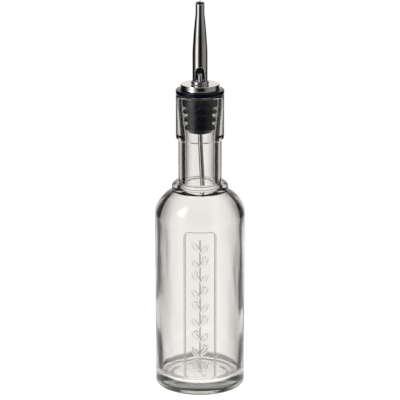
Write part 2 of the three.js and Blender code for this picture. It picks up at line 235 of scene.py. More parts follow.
path = add_node(sky, "ShaderNodeLightPath")
crossed = math_node(sky, "GREATER_THAN", path.outputs["Transmission Depth"], 3.5)
unmirrored = math_node(sky, "LESS_THAN", path.outputs["Glossy Depth"], 0.5)
straight_through = math_node(sky, "MULTIPLY", crossed, unmirrored)
panels = chosen(straight_through, round_the_horizon(PANELS), round_the_horizon(THROUGH))
print("studio with", len(PANELS), "brightness stops round the horizon")

# %% [markdown]
# Above is a plain ceiling. Below is the white table top, bright straight under the bottle. It lights the
# thick base and the shoulder from below. Seen straight through the bottle it is kept a little dimmer, so that
# the base keeps its lines. One softly edged window, high on the left, makes the round highlight on the
# shoulder.

# %% Ceiling, table and window
TABLE_LEVEL = 1.2
TABLE_THROUGH_GLASS = 0.35
CEILING = 0.55
WINDOW_AZIMUTH, WINDOW_ELEVATION = -57, 37
WINDOW_HALF_WIDTH, WINDOW_HALF_HEIGHT = 10, 15
WINDOW_SOFTNESS = 8
WINDOW_STRENGTH = 6.0
# Where each part begins and where it is complete, as the upward share of a ray's direction
CEILING_EDGE = (0.55, 0.85)
TABLE_EDGE = (-0.46, -0.62)
TABLE_MIDDLE = (-0.76, -0.88)

overhead = soft_step(sky, to_z, *CEILING_EDGE)
below = soft_step(sky, to_z, *TABLE_EDGE)
straight_below = soft_step(sky, to_z, *TABLE_MIDDLE)
table = chosen(straight_below, chosen(straight_through, TABLE_LEVEL, TABLE_THROUGH_GLASS), TABLE_LEVEL)
walls = chosen(overhead, chosen(below, panels, table), CEILING)


def inside_window(angle, centre, half_width):
    """1 inside the window and 0 outside, measured along one angle given in degrees."""
    off = math_node(sky, "ABSOLUTE", math_node(sky, "SUBTRACT", angle, math.radians(centre)))
    outer, inner = half_width + WINDOW_SOFTNESS, half_width - WINDOW_SOFTNESS
    return soft_step(sky, off, math.radians(outer), math.radians(inner))


window = math_node(
    sky, "MULTIPLY", inside_window(azimuth, WINDOW_AZIMUTH, WINDOW_HALF_WIDTH),
    inside_window(elevation, WINDOW_ELEVATION, WINDOW_HALF_HEIGHT),
)
studio_light = math_node(sky, "MULTIPLY_ADD", window, WINDOW_STRENGTH, walls)
print("window at", WINDOW_AZIMUTH, "degrees round and", WINDOW_ELEVATION, "degrees up")

# %% [markdown]
# The camera itself sees a plain white background. The object sees the studio, in a slightly warm white.

# %% Background
seen_by_camera = add_node(sky, "ShaderNodeBackground", Color=(1, 1, 1, 1), Strength=1.0)
seen_by_object = add_node(sky, "ShaderNodeBackground", Color=(1, 0.965, 0.925, 1))
sky.links.new(studio_light, seen_by_object.inputs["Strength"])
choose = add_node(sky, "ShaderNodeMixShader")
sky.links.new(path.outputs["Is Camera Ray"], choose.inputs["Fac"])
sky.links.new(seen_by_object.outputs[0], choose.inputs[1])
sky.links.new(seen_by_camera.outputs[0], choose.inputs[2])
sky.links.new(choose.outputs[0], add_node(sky, "ShaderNodeOutputWorld").inputs["Surface"])
print("world with", len(sky.nodes), "nodes")

# %% [markdown]
# The floor is a round white table top that fades out into the white background, so it has no visible edge.
# One wide light hangs over it. Rays that have passed through glass don't see the table top. A real bottle
# stands on a small table in a dark room, so its sides show the dark beyond the table, and this does the same.
# The Standard view keeps white as white and greys as they are.

# %% Floor
FLOOR_RADIUS = 0.62
FLOOR_FADE = 0.3          # width of the ring in which the floor fades out
FLOOR_SIDES = 96
FLOOR_WHITE = (0.88, 0.88, 0.875, 1)

floor_mesh = bpy.data.meshes.new("floor")
turns = [math.tau * k / FLOOR_SIDES for k in range(FLOOR_SIDES)]
rim_points = [(FLOOR_RADIUS * math.cos(t), FLOOR_RADIUS * math.sin(t), 0.0) for t in turns]
floor_mesh.from_pydata(rim_points, [], [tuple(range(FLOOR_SIDES))])
floor = bpy.data.objects.new("floor", floor_mesh)
bpy.context.scene.collection.objects.link(floor)
floor.visible_transmission = False

floor_material = bpy.data.materials.new("white_table_top")
floor_material.use_nodes = True
tree = floor_material.node_tree
top = tree.nodes["Principled BSDF"]
top.inputs["Base Color"].default_value = FLOOR_WHITE
top.inputs["Roughness"].default_value = 0.6
top.inputs["Specular IOR Level"].default_value = 0.1
reach = add_node(tree, "ShaderNodeVectorMath", operation="LENGTH")
tree.links.new(add_node(tree, "ShaderNodeNewGeometry").outputs["Position"], reach.inputs[0])
fade = soft_step(tree, reach.outputs["Value"], FLOOR_RADIUS - FLOOR_FADE, FLOOR_RADIUS)
blend = add_node(tree, "ShaderNodeMixShader")
tree.links.new(fade, blend.inputs["Fac"])
tree.links.new(top.outputs[0], blend.inputs[1])
tree.links.new(add_node(tree, "ShaderNodeBsdfTransparent").outputs[0], blend.inputs[2])
tree.links.new(blend.outputs[0], tree.nodes["Material Output"].inputs["Surface"])
floor_mesh.materials.append(floor_material)
print("floor", round(2 * FLOOR_RADIUS, 2), "m across")

# %% Top light
LIGHT_POSITION = (0.0, 0.05, 1.1)
LIGHT_SIZE = 0.8
LIGHT_POWER = 11.0

light_data = bpy.data.lights.new("top_light", "AREA")
light_data.size = LIGHT_SIZE
light_data.energy = LIGHT_POWER
top_light = bpy.data.objects.new("top_light", light_data)
top_light.location = LIGHT_POSITION
top_light.visible_glossy = False
bpy.context.scene.collection.objects.link(top_light)
bpy.context.scene.view_settings.view_transform = "Standard"
print("top light of", LIGHT_POWER, "W")

# %% [markdown]
# ## How the round pieces are made
#
# Everything here is turned, drawn, moulded or pressed round one axis. So each piece starts as an outline in
# millimetres, radius against height, and is swept round the axis as a grid of points. Keeping the grid means
# that a relief, a dent or a slight waviness can be added by moving points before the faces are made.

# %% Outline and sweep helpers
def arc(radius_at, height_at, radius, start, end, steps=8, rise=None):
    """Points of a round (or, with rise, elliptical) arc. 0 degrees points outwards and 90 up."""
    rise = radius if rise is None else rise
    angles = np.radians(np.linspace(start, end, steps + 1))
    return [(radius_at + radius * math.cos(a), height_at + rise * math.sin(a)) for a in angles]


def divided(outline, spacing):
    """The same outline with extra points, so that no step is longer than spacing."""
    points = [outline[0]]
    for a, b in zip(outline, outline[1:]):
        steps = max(1, math.ceil(math.dist(a, b) / spacing))
        points += [tuple(a[i] + (b[i] - a[i]) * k / steps for i in (0, 1)) for k in range(1, steps + 1)]
    return points


def smooth_rise(x):
    """0 for x below 0, 1 for x above 1, smooth between."""
    x = np.clip(x, 0.0, 1.0)
    return x * x * (3 - 2 * x)


def even_angles(count):
    """Equal steps once round the axis, from the front."""
    return np.linspace(0, math.tau, count, endpoint=False)


def grid_of(outline, angles):
    """Arrays of radius, height and angle for every point of the swept grid."""
    outline = np.array(outline)
    radius = np.repeat(outline[:, :1], len(angles), axis=1)
    height = np.repeat(outline[:, 1:], len(angles), axis=1)
    angle = np.repeat(angles[None, :], len(outline), axis=0)
    return radius, height, angle


def to_points(radius, height, angle):
    """Angle 0 faces -Y, the front, and grows towards +X."""
    return np.stack([radius * np.sin(angle), -radius * np.cos(angle), height], axis=-1)


def sweep(name, points, ring=False):
    """Makes a mesh object from a grid of points in millimetres, whose rows run round the axis.
    With ring, the last row joins the first. Without, a first or last row on the axis closes to one point."""
    rows, columns = points.shape[:2]
    vertices, index = [], np.zeros((rows, columns), int)
    for row in range(rows):
        on_axis = not ring and np.ptp(points[row], axis=0).max() < 1e-6
        for column in range(columns):
            if on_axis and column:
                index[row, column] = index[row, 0]
                continue
            index[row, column] = len(vertices)
            vertices.append(points[row, column] * MM)
    faces = []
    for row in range(rows if ring else rows - 1):
        lower, upper = index[row], index[(row + 1) % rows]
        for column in range(columns):
            beside = (column + 1) % columns
            corners = (lower[column], lower[beside], upper[beside], upper[column])
            faces.append(tuple(int(v) for v in dict.fromkeys(corners)))
    mesh = bpy.data.meshes.new(name)
    mesh.from_pydata(vertices, [], faces)
    mesh.shade_smooth()
    mesh.validate()
    piece = bpy.data.objects.new(name, mesh)
    bpy.context.scene.collection.objects.link(piece)
    print(name, len(vertices), "points,", len(faces), "faces")
    return piece


# %% [markdown]
# ## The bottle
#
# The bottle is pressed and blown soda glass. The mould gives the outside its crisp shape: a small heel
# radius, a shoulder that is a quarter of an ellipse, a bead at the foot of the neck and a thicker band at the
# mouth. The inside is blown, so it is softer, thicker at the base and never quite true.

# %% Outline of the outside
HEEL_RADIUS = 3.0
REST_INNER = BODY - HEEL_RADIUS - 5.0
PUNT_RISE = 3.2
SHOULDER_FOOT = 116.1
SHOULDER_TOP = 132.0
SHOULDER_TURN = 60
BEAD_RADIUS, BEAD_TOP, BEAD_ROUND = 18.3, 138.0, 3.3
NECK_RADIUS = 14.05
FINISH_FOOT = 166.1

shoulder_end = BEAD_RADIUS + 0.35
shoulder_width = (BODY - shoulder_end) / (1 - math.cos(math.radians(SHOULDER_TURN)))
shoulder_rise = (SHOULDER_TOP - SHOULDER_FOOT) / math.sin(math.radians(SHOULDER_TURN))
outside = (
    arc(0, 0.0, REST_INNER - 0.6, 90, 8, 10, rise=PUNT_RISE)
    + arc(REST_INNER + 0.2, 0.35, 0.35, 210, 270, 3)
    + arc(BODY - HEEL_RADIUS, HEEL_RADIUS, HEEL_RADIUS, -90, 0, 12)
    + arc(BODY - shoulder_width, SHOULDER_FOOT, shoulder_width, 0, SHOULDER_TURN, 32, rise=shoulder_rise)
    + arc(BEAD_RADIUS + 0.15, SHOULDER_TOP + 0.45, 0.35, 230, 130, 5)
    + arc(BEAD_RADIUS - BEAD_ROUND, BEAD_TOP - BEAD_ROUND, BEAD_ROUND, 0, 78, 12)
    + arc(NECK_RADIUS + 0.8, BEAD_TOP + 0.75, 0.8, 255, 180, 5)
    + arc(NECK_RADIUS + 0.5, FINISH_FOOT - 0.3, 0.5, 180, 130, 3)
    + arc(FINISH_RADIUS - 0.7, FINISH_FOOT + 1.5, 0.7, -50, 0, 4)
    + arc(FINISH_RADIUS - 1.1, RIM - 1.1, 1.1, 0, 90, 8)
)
print("outside outline reaches", round(max(r for r, z in outside), 2), "mm from the axis")

# %% Outline of the inside
BODY_WALL = 3.6
BASE_THICKNESS = 7.0
FLOOR_RISE = 1.8
FLOOR_CORNER = 7.0
NECK_BORE = 9.7
MOUTH_BORE = 12.5
MOUTH_TAPER = 31.0

inner_radius = BODY - BODY_WALL
bend_from = np.array([NECK_BORE, BEAD_TOP + 1])
bend_to = np.array([inner_radius, SHOULDER_FOOT - BODY_WALL])
fall = bend_from[1] - bend_to[1]
handles = [bend_from, bend_from - (0, 0.31 * fall), bend_to + (0, 0.62 * fall), bend_to]


def along_bend(t):
    """A point of the cubic curve that takes the neck's bore out into the body."""
    weights = ((1 - t) ** 3, 3 * t * (1 - t) ** 2, 3 * t * t * (1 - t), t ** 3)
    return tuple(sum(w * h for w, h in zip(weights, handles)))


inside = (
    arc(MOUTH_BORE + 1.1, RIM - 1.1, 1.1, 90, 180, 8)
    + [(NECK_BORE, RIM - MOUTH_TAPER)]
    + [along_bend(t) for t in np.linspace(0, 1, 33)]
    + arc(inner_radius - FLOOR_CORNER, BASE_THICKNESS + FLOOR_CORNER, FLOOR_CORNER, 0, -90, 14)
    + arc(0, BASE_THICKNESS, inner_radius - FLOOR_CORNER, 4, 90, 10, rise=FLOOR_RISE)
)
print("inside outline has", len(inside), "points")

# %% [markdown]
# ### The raised panel
#
# The front carries a framed panel with a raised ornament, here a plain olive sprig. Both are only half a
# millimetre high, but clear glass makes every slope visible, so they are real relief and not a bump map. Each
# shape is described by its distance from an edge, measured on the unrolled wall: across as arc length, up as
# height. The frame's inner slope is steep and its outer slope is soft, as a mould cutter leaves them.

# %% Relief of the frame and the sprig
PANEL_WIDTH = 21.6
PANEL_BOTTOM, PANEL_TOP = 11.8, 112.0
PANEL_CORNER = 3.6
FRAME_WIDTH = 1.25
RELIEF = 0.53
SPRIG_PITCH = 10.0
SPRIG_MARGIN = 5.0
LEAF_LENGTH, LEAF_WIDTH, LEAF_LEAN = 9.0, 3.4, math.radians(38)
FRUIT_RADIUS, FRUIT_REACH = 1.2, 2.6


def frame_relief(across, up):
    """Height, from 0 to 1, of the bead that runs round the panel."""
    middle, half_height = (PANEL_TOP + PANEL_BOTTOM) / 2, (PANEL_TOP - PANEL_BOTTOM) / 2
    past_side = np.abs(across) - (PANEL_WIDTH / 2 - PANEL_CORNER)
    past_end = np.abs(up - middle) - (half_height - PANEL_CORNER)
    corner = np.hypot(np.maximum(past_side, 0), np.maximum(past_end, 0))
    depth = PANEL_CORNER - corner - np.minimum(np.maximum(past_side, past_end), 0)
    return smooth_rise(depth / 0.7) * (1 - smooth_rise((depth - FRAME_WIDTH + 0.15) / 0.32))


def leaf_relief(across, up, foot, side):
    """A pointed leaf with a midrib, growing up and outwards from the stem."""
    dx, dz = across * side, up - foot
    along = (dx * math.sin(LEAF_LEAN) + dz * math.cos(LEAF_LEAN)) / LEAF_LENGTH
    beside = dx * math.cos(LEAF_LEAN) - dz * math.sin(LEAF_LEAN)
    half_width = LEAF_WIDTH / 2 * np.sin(math.pi * np.clip(along, 0, 1))
    leaf = smooth_rise((half_width - np.abs(beside)) / 0.34)
    midrib = 0.7 * np.exp(-((beside / 0.24) ** 2)) * smooth_rise(along / 0.2)
    return leaf * (1 - midrib)


def fruit_relief(across, up, height, side):
    """A small round fruit beside the stem."""
    distance = np.hypot(across - side * FRUIT_REACH, up - height)
    return smooth_rise((FRUIT_RADIUS - distance) / 0.6)


def sprig_relief(across, up):
    """The whole sprig: a stem with leaves and fruit on alternating sides."""
    low, high = PANEL_BOTTOM + SPRIG_MARGIN, PANEL_TOP - SPRIG_MARGIN
    stem = smooth_rise((0.42 - np.abs(across)) / 0.3)
    relief = stem * smooth_rise((up - low) / 0.5) * smooth_rise((high - up) / 0.5)
    count = int((high - low - LEAF_LENGTH) // SPRIG_PITCH) + 1
    for k in range(count):
        foot, side = low + k * SPRIG_PITCH, 1 if k % 2 == 0 else -1
        for shape in (
            leaf_relief(across, up, foot, side),
            leaf_relief(across, up, foot + 1.5, -side),
            fruit_relief(across, up, foot - 2, side),
        ):
            relief = np.maximum(relief, shape)
    return relief


# %% Outside grid with its relief
FINE_STEP, COARSE_STEP = 0.2, 2.0
WALL_ROW, FRAME_END_ROW, OTHER_ROW, INNER_ROW = 0.47, 0.25, 2.5, 3.0

fine_half = (PANEL_WIDTH / 2 + 0.9) / BODY
far_side = math.tau - fine_half
fine_count = round(2 * fine_half * BODY / FINE_STEP)
coarse_count = round((far_side - fine_half) * BODY / COARSE_STEP)
bottle_angles = np.concatenate([
    np.linspace(-fine_half, fine_half, fine_count, endpoint=False),
    np.linspace(fine_half, far_side, coarse_count, endpoint=False),
])


def wall_rows(low, high):
    """Rows up the straight wall, packed closely at both ends of the frame."""
    end = PANEL_CORNER + 0.2
    heights = [low, PANEL_BOTTOM - 0.2, PANEL_BOTTOM + end, PANEL_TOP - end, PANEL_TOP + 0.2, high]
    spacings = [WALL_ROW, FRAME_END_ROW, WALL_ROW, FRAME_END_ROW, WALL_ROW]
    rows = []
    for foot, top, spacing in zip(heights, heights[1:], spacings):
        rows += divided([(BODY, foot), (BODY, top)], spacing)[:-1]
    return rows


outer_rows = []
for a, b in zip(outside, outside[1:]):
    straight_wall = abs(a[0] - BODY) < 1e-6 and abs(b[0] - BODY) < 1e-6
    outer_rows += wall_rows(a[1], b[1]) if straight_wall else divided([a, b], OTHER_ROW)[:-1]
outer_rows.append(outside[-1])

radius, height, angle = grid_of(outer_rows + divided(inside, INNER_ROW), bottle_angles)
across = np.where(angle > math.pi, angle - math.tau, angle) * BODY
is_outer = np.arange(len(radius)) < len(outer_rows)
on_wall = is_outer[:, None] & (np.abs(across) < fine_half * BODY) & (radius > BODY - 0.01)
relief = np.maximum(frame_relief(across, height), sprig_relief(across, height))
radius = radius + np.where(on_wall, RELIEF * relief, 0)
print(len(outer_rows), "rows outside,", len(bottle_angles), "columns")

# %% [markdown]
# ### The uneven inner wall
#
# Two things make the inside wander: a slow waviness everywhere, and chill marks low on both sides, where the
# hot glass touched the mould first and stayed thicker. The marks act as weak lenses and draw the dark,
# irregular streaks at the sides. Smooth noise alone would look too even, so the marks are placed one by one.

# %% Uneven inside, then sweep the bottle
WAVE_HEIGHT = 0.3
# (angle in degrees, height, half width in degrees, half height, depth), lengths in millimetres
CHILL_MARKS = [
    (-88, 50, 13, 17, 0.75), (-108, 88, 10, 22, -0.5), (84, 44, 12, 14, 0.8), (101, 70, 9, 13, -0.7),
]


def waviness(x, y, z):
    """Slow unevenness of blown glass, about -1 to 1."""
    slow = noise.noise(Vector((x / 16, y / 16, z / 34)))
    return slow + 0.4 * noise.noise(Vector((x / 7, y / 7, z / 18 + 9)))


def chill(angle, height):
    """Extra unevenness of the inner wall at the chill marks."""
    total = 0.0
    for mark_angle, mark_height, half_width, half_height, depth in CHILL_MARKS:
        turn = (math.degrees(angle) - mark_angle + 180) % 360 - 180
        total += depth * math.exp(-((turn / half_width) ** 2) - ((height - mark_height) / half_height) ** 2)
    return total


wave = np.zeros_like(radius)
points = to_points(radius, height, angle)
for row in np.nonzero(~is_outer)[0]:
    in_body = smooth_rise((SHOULDER_TOP - height[row, 0]) / 12) * smooth_rise(radius[row, 0] / 12)
    if in_body > 0:
        uneven = [WAVE_HEIGHT * waviness(*p) + chill(a, p[2]) for p, a in zip(points[row], angle[row])]
        wave[row] = in_body * np.array(uneven)
bottle = sweep("bottle_glass", to_points(radius + wave, height, angle))

# %% [markdown]
# ## The stopper
#
# The stopper is one moulded piece of dark, slightly rubbery plastic. A flange rests on the glass, a smooth
# collar fills the mouth and three thin fins seal the bore. A hollow core lets the metal pourer through. It is
# all one ring outline. The fin tips and the edges of the flange are rounded, because a mould never leaves
# them sharp, and those small rounds catch the thin highlights.

# %% Stopper
TOUCH_GAP = 0.3
FLANGE_BOTTOM = RIM + TOUCH_GAP
FLANGE_THICKNESS, COLLAR_LENGTH = 2.9, 7.6
FLANGE_TOP = FLANGE_BOTTOM + FLANGE_THICKNESS
COLLAR_FOOT = FLANGE_BOTTOM - COLLAR_LENGTH
CORE_RADIUS = 8.1
FIN_HEIGHTS = (174.13, 179.42, 184.7)
FIN_TIP_ROUND = 0.35
STOPPER_BORE, COUNTERBORE, COUNTERBORE_FLOOR = 3.9, 5.1, FLANGE_TOP - 9


def bore_at(z):
    """Radius of the mouth's bore, which tapers down into the neck."""
    depth = min(max((RIM - z) / MOUTH_TAPER, 0), 1)
    return MOUTH_BORE + (NECK_BORE - MOUTH_BORE) * depth


def fin_outline(z):
    """Both slopes and the round tip of one sealing fin, from below to above."""
    tip = bore_at(z - 0.7) - TOUCH_GAP - FIN_TIP_ROUND
    return (
        [(CORE_RADIUS, z - 1.5), (CORE_RADIUS + 0.15, z - 1.05), (CORE_RADIUS + 0.6, z - 0.7)]
        + arc(tip, z, FIN_TIP_ROUND, -80, 80, 6)
        + [(CORE_RADIUS + 0.6, z + 0.7), (CORE_RADIUS + 0.15, z + 1.05), (CORE_RADIUS, z + 1.5)]
    )


collar_edge, mouth_edge = bore_at(COLLAR_FOOT) - TOUCH_GAP, bore_at(FLANGE_BOTTOM) - TOUCH_GAP
stopper_outline = (
    [(STOPPER_BORE, PLUG_BOTTOM + 0.4), (STOPPER_BORE + 0.4, PLUG_BOTTOM)]
    + arc(CORE_RADIUS - 1.9, PLUG_BOTTOM + 1.9, 1.9, -90, 0, 8)
    + [point for z in FIN_HEIGHTS for point in fin_outline(z)]
    + [(CORE_RADIUS, COLLAR_FOOT - 0.4), (CORE_RADIUS + 0.3, COLLAR_FOOT)]
    + arc(collar_edge - 0.5, COLLAR_FOOT + 0.6, 0.5, -80, 0, 5)
    + [(mouth_edge, FLANGE_BOTTOM - 1.1), (mouth_edge, FLANGE_BOTTOM)]
    + arc(FINISH_RADIUS - 0.6, FLANGE_BOTTOM + 0.6, 0.6, -90, 0, 6)
    + arc(FINISH_RADIUS - 0.6, FLANGE_TOP - 0.6, 0.6, 0, 90, 6)
    + [(11.7, FLANGE_TOP), (11.4, FLANGE_TOP + 0.2), (11.4, BOSS_TOP - 0.3), (11.1, BOSS_TOP)]
    + [(COUNTERBORE, BOSS_TOP), (COUNTERBORE, COUNTERBORE_FLOOR), (STOPPER_BORE, COUNTERBORE_FLOOR)]
)
stopper = sweep(
    "stopper_moulding", to_points(*grid_of(divided(stopper_outline, 1.2), even_angles(144))), ring=True
)

# %% [markdown]
# ## The pourer
#
# The metal pourer is thin stainless steel: a shallow pressed cap, a barrel that goes down through the
# stopper, a long drawn spout with a slanted mouth, a ring of brazing round its foot, and a bent breather tube
# that lets air in while oil runs out. Holes and slots are cut with Boolean modifiers, which are applied at
# once, so the meshes that leave this file are plain. The edges are rolled rather than sharp.

# %% Cutting helper
def box_points(low, high):
    """The eight corners of a box."""
    return [(x, y, z) for x in (low[0], high[0]) for y in (low[1], high[1]) for z in (low[2], high[2])]


def cut(piece, cutter):
    """Takes the cutter's shape out of the piece and removes the cutter."""
    modifier = piece.modifiers.new("cut", "BOOLEAN")
    modifier.operation = "DIFFERENCE"
    modifier.solver = "EXACT"
    modifier.object = cutter
    bpy.context.view_layer.update()
    evaluated = piece.evaluated_get(bpy.context.evaluated_depsgraph_get())
    mesh = bpy.data.meshes.new_from_object(evaluated)
    piece.modifiers.clear()
    piece.data = mesh
    bpy.data.objects.remove(cutter)
    print(piece.name, "after the cut:", len(mesh.polygons), "faces")


def rod(name, x, y, radius, low, high, sides=48):
    """A plain upright rod to cut with."""
    points = to_points(*grid_of([(0, low), (radius, low), (radius, high), (0, high)], even_angles(sides)))
    return sweep(name, points + (x, y, 0))


# %% Cap
CAP_SIDE = CAP_FLARE - 0.3
CAP_WALL = 0.6
BARREL_BORE = 3.1
BREATHER_RADIUS = 1.45
BREATHER_FRONT = 3.15

cap_outline = (
    [(CAP_SIDE - CAP_WALL, CAP_LOW), (CAP_SIDE - 0.1, CAP_LOW)]
    + arc(CAP_SIDE + 0.15, CAP_LOW + 0.15, 0.15, -90, 60, 5)
    + [(CAP_SIDE, CAP_LOW + 0.7)]
    + arc(CAP_SIDE - 0.5, CAP_TOP - 0.5, 0.5, 0, 90, 8)
    + [(CAP_SIDE - 1.4, CAP_TOP - 0.03), (7.2, CAP_TOP - 0.03), (6.4, CAP_TOP - 0.05)]
    + [(BARREL_BORE, CAP_TOP - 0.05)]
    + [(BARREL_BORE, CAP_TOP - CAP_WALL), (CAP_SIDE - CAP_WALL, CAP_TOP - CAP_WALL)]
)
cap = sweep("pourer_cap", to_points(*grid_of(divided(cap_outline, 0.8), even_angles(160))), ring=True)
cut(cap, rod("breather_hole", 0, -BREATHER_FRONT, BREATHER_RADIUS + 0.35, CAP_LOW, CAP_TOP + 1))

# %% Barrel
SLOT_WIDTH = 3.6
SLOT_FRONT, SLOT_BACK = -5, -1.2

barrel_outline = (
    [(BARREL_BORE, BARREL_LOW + 0.2)]
    + arc(BARREL_SIDE - 0.25, BARREL_LOW + 0.25, 0.25, -150, 0, 6)
    + [(BARREL_SIDE, BARREL_TOP), (BARREL_BORE, BARREL_TOP)]
)
barrel = sweep("pourer_barrel", to_points(*grid_of(divided(barrel_outline, 1.5), even_angles(72))), ring=True)
slot_mesh = bpy.data.meshes.new("slot")
half_slot = SLOT_WIDTH / 2
corners = box_points((-half_slot, SLOT_FRONT, COUNTERBORE_FLOOR), (half_slot, SLOT_BACK, BARREL_TOP + 2))
slot_faces = [(0, 1, 3, 2), (4, 6, 7, 5), (0, 4, 5, 1), (2, 3, 7, 6), (0, 2, 6, 4), (1, 5, 7, 3)]
slot_mesh.from_pydata([Vector(c) * MM for c in corners], [], slot_faces)
slot = bpy.data.objects.new("slot", slot_mesh)
bpy.context.scene.collection.objects.link(slot)
cut(barrel, slot)

# %% [markdown]
# ### The spout
#
# The spout is drawn from tube: straight at the foot, then tapering with a slight belly to a narrow tip that
# is cut on a slant. At the front of the foot an arch is pressed inwards, and the breather tube stands in it.
# The arch is made by moving points backwards inside its outline, on the outer wall and a little wider on the
# inner wall, as a press tool would. Columns and rows are packed closely there.

# %% Spout
SPOUT_RADIUS = 4.85
SPOUT_WALL = 0.5
TIP_RADIUS, TIP_LENGTH = 2.85, 7.6
STRAIGHT, TAPER, BELLY = 20.0, 25.0, 0.22
TIP_SLOPE = math.tan(math.radians(16))
ARCH_WIDTH, ARCH_HEIGHT = 6.4, 11.0
ARCH_BACK = -1.35


def spout_side(inset):
    """Radius against height, from the foot up to where the lip starts to round."""
    t = np.linspace(0, 1, 26)
    radius = SPOUT_RADIUS + (TIP_RADIUS - SPOUT_RADIUS) * t + BELLY * np.sin(math.pi * t)
    taper = list(zip(radius - inset, SPOUT_FOOT + STRAIGHT + TAPER * t))
    top = SPOUT_FOOT + STRAIGHT + TAPER + TIP_LENGTH - SPOUT_WALL / 2
    return [(SPOUT_RADIUS - inset, SPOUT_FOOT)] + taper + [(TIP_RADIUS - inset, top)]


def arch_depth(x, z):
    """How far a point lies inside the arch's outline, in millimetres."""
    spring = SPOUT_FOOT + ARCH_HEIGHT - ARCH_WIDTH / 2
    return ARCH_WIDTH / 2 - np.hypot(x, np.maximum(z - spring, 0))


def dense_foot(side):
    """Packs rows closely round the top of the arch."""
    low, high = SPOUT_FOOT + ARCH_HEIGHT - 3.6, SPOUT_FOOT + ARCH_HEIGHT + 1
    foot = side[0][0]
    rows = [(foot, z) for z in np.arange(SPOUT_FOOT, low, 0.7)]
    rows += [(foot, z) for z in np.arange(low, high, 0.11)]
    return rows + divided([(foot, high)] + side[1:], 0.9)


dense_angle = math.radians(50)
front_angles = np.linspace(-dense_angle, dense_angle, 100, endpoint=False)
back_angles = np.linspace(dense_angle, math.tau - dense_angle, 60, endpoint=False)
spout_angles = np.concatenate([front_angles, back_angles])
outer_side, inner_side = dense_foot(spout_side(0)), dense_foot(spout_side(SPOUT_WALL))
lip_centre = (TIP_RADIUS - SPOUT_WALL / 2, outer_side[-1][1])
lip = arc(*lip_centre, SPOUT_WALL / 2, 0, 180, 8)[1:-1]
radius, height, angle = grid_of(outer_side + lip + inner_side[::-1], spout_angles)
points = to_points(radius, height, angle)
x, y, z = points[..., 0], points[..., 1], points[..., 2]

inner_wall = (np.arange(len(points)) >= len(outer_side) + len(lip))[:, None]
depth = arch_depth(x, z) + np.where(inner_wall, SPOUT_WALL, 0)
pressed = smooth_rise((depth + 0.1) / 0.45) * (y < 0)
points[..., 1] = y + (np.where(inner_wall, ARCH_BACK + SPOUT_WALL, ARCH_BACK) - y) * pressed

slant = smooth_rise((z - SPOUT_FOOT - STRAIGHT - TAPER) / TIP_LENGTH * 0.98)
points[..., 2] = z + slant * (points[..., 1] - TIP_RADIUS) * TIP_SLOPE
spout = sweep("pourer_spout", points, ring=True)

# %% [markdown]
# ### Brazing ring and breather tube
#
# The ring is a plain turned ring with a rounded top, slightly uneven, as brazing filler settles. The breather
# is a fine tube bent to a gentle S. A curve object could sweep it, but doing it by hand keeps its cut ends
# hollow: each section is placed square to the route, and the outer skin turns in at both ends to become the
# inner skin.

# %% Brazing ring
RING_INNER, RING_WALL, RING_TALL = SPOUT_RADIUS + 0.3, 0.6, 1.6
ring_outline = (
    [(RING_INNER, SPOUT_FOOT), (RING_INNER + RING_WALL, SPOUT_FOOT)]
    + arc(RING_INNER + RING_WALL / 2, SPOUT_FOOT + RING_TALL - RING_WALL / 2, RING_WALL / 2, 0, 180, 10)
)
radius, height, angle = grid_of(divided(ring_outline, 0.4), even_angles(120))
lumps = 0.06 * np.sin(5 * angle + 0.6) * np.sin(2 * angle) * (height > SPOUT_FOOT + 0.5)
brazing = sweep("pourer_brazing", to_points(radius, height - 0.06 - lumps, angle), ring=True)

# %% Breather tube
ROUTE = [
    (0, -BREATHER_FRONT, CAP_TOP + 6.2), (0, -BREATHER_FRONT, CAP_TOP + 1),
    (0, -(BREATHER_FRONT + 1.3) / 2, (FLANGE_TOP + COUNTERBORE_FLOOR) / 2), (0, -1.3, COUNTERBORE_FLOOR),
    (0.1, -1.3, PLUG_BOTTOM), (1.6, -1.3, BREATHER_END + 0.03),
]


def between(t, start, end, first, second):
    """First at t = start, second at t = end, and a straight blend between them."""
    share = (t - start) / (end - start)
    return (1 - share) * first + share * second


def centripetal(points, steps):
    """A smooth curve through the points, with knots spaced by the root of their distance."""
    points = [np.array(p, float) for p in points]
    points = [2 * points[0] - points[1]] + points + [2 * points[-1] - points[-2]]
    route = []
    for p0, p1, p2, p3 in zip(points, points[1:], points[2:], points[3:]):
        steps_between = [math.sqrt(np.linalg.norm(b - a)) for a, b in ((p0, p1), (p1, p2), (p2, p3))]
        k0, k1, k2, k3 = np.cumsum([0] + steps_between)
        for t in np.linspace(k1, k2, steps, endpoint=False):
            a1, a2, a3 = between(t, k0, k1, p0, p1), between(t, k1, k2, p1, p2), between(t, k2, k3, p2, p3)
            b1, b2 = between(t, k0, k2, a1, a2), between(t, k1, k3, a2, a3)
            route.append(between(t, k1, k2, b1, b2))
    return np.array(route + [points[-2]])


route = centripetal(ROUTE[::-1], 14)
forward = np.gradient(route, axis=0)
forward /= np.linalg.norm(forward, axis=1)[:, None]
sideways = np.cross(forward, (0, 1, 0))
sideways /= np.linalg.norm(sideways, axis=1)[:, None]
upwards = np.cross(forward, sideways)
round_angles = even_angles(28)


def tube_skin(radius):
    """Rows of points round the route, square to it."""
    cosines, sines = (f(round_angles)[None, :, None] for f in (np.cos, np.sin))
    return route[:, None] + radius * (cosines * sideways[:, None] + sines * upwards[:, None])


bore_skin = tube_skin(BREATHER_RADIUS - SPOUT_WALL)[::-1]
breather = sweep("breather_pipe", np.concatenate([tube_skin(BREATHER_RADIUS), bore_skin]), ring=True)

# %% [markdown]
# ## Shared surface effects
#
# Handled things are never evenly glossy. Fingers and wiping leave soft dull patches, and cloths leave
# hair-fine scratches. Steel and plastic show both in different strength, and the harder glass shows only the
# patches. So each effect is a node group with named inputs, made once, and every material sets its own
# values.

